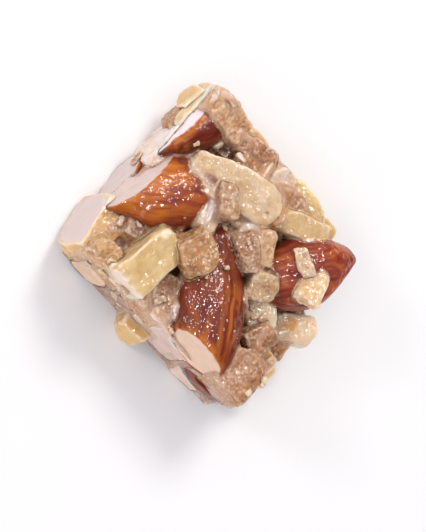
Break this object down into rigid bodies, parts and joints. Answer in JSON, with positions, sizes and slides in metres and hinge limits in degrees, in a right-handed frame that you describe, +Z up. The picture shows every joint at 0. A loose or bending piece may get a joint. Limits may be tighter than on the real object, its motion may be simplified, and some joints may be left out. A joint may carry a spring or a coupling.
{
  "type": "protein bar piece",
  "caption": "Bite-size square cut from a nut protein bar, with whole and cut almonds, chopped nuts and crisps set in syrup, lying flat.",
  "frame": {"origin": "middle of the flat underside of the core, on the surface the piece lies on", "axes": "+Z up through the nut-covered face, X and Y along the four knife-cut sides"},
  "size_m": [0.0439, 0.0387, 0.0169],
  "materials": {
    "almond": "brown almond skin under a thin glossy syrup, with pale cut faces",
    "nut": "ivory to yellow chopped nut under a thin syrup",
    "crisp": "light-brown puffed crisp with a rough, pitted surface",
    "syrup": "glossy set syrup holding fine crumbs"
  },
  "bodies": {
    "root": {"nut_crumb_on_almond": "nut", "crisp_on_almond": "crisp", "almond_upper_left": "almond", "crisp_honeyed": "crisp", "cashew_large": "nut", "crisp_rod_left": "crisp", "crisp_rod_right": "crisp", "crisp_cube": "crisp", "almond_centre": "almond", "nut_chip_under": "nut", "nut_diagonal": "nut", "crisp_bottom": "crisp", "nut_right_back": "nut", "almond_right": "almond", "crisp_syrupy": "crisp", "crisp_top": "crisp", "crisp_back_long": "crisp", "crisp_back_inner": "crisp", "crisp_back_small": "crisp", "nut_white": "nut", "crisp_back_round": "crisp", "crisp_back_bead": "crisp", "crisp_left": "crisp", "nut_left": "nut", "almond_top": "almond", "crisp_top_left": "crisp", "nut_top_slice": "nut", "nut_top_yellow": "nut", "crisp_left_edge": "crisp", "crisp_lower_left": "crisp", "crisp_hollow": "crisp", "crisp_hollow_right": "crisp", "nut_lower_left": "nut", "nut_between": "nut", "nut_proud_right": "nut", "nut_lower_right": "nut", "almond_under_left": "almond", "nut_cream": "nut", "almond_corner_left": "almond", "nut_back_pale": "nut", "nut_back_yellow": "nut", "nut_back_corner": "nut", "nut_proud_left": "nut", "almond_low": "almond", "nut_low_chip": "nut", "crisp_low_right": "crisp", "nut_crescent": "nut", "almond_under_right": "almond", "almond_under_back": "almond", "syrup_core": "syrup"}
  },
  "joints": []
}
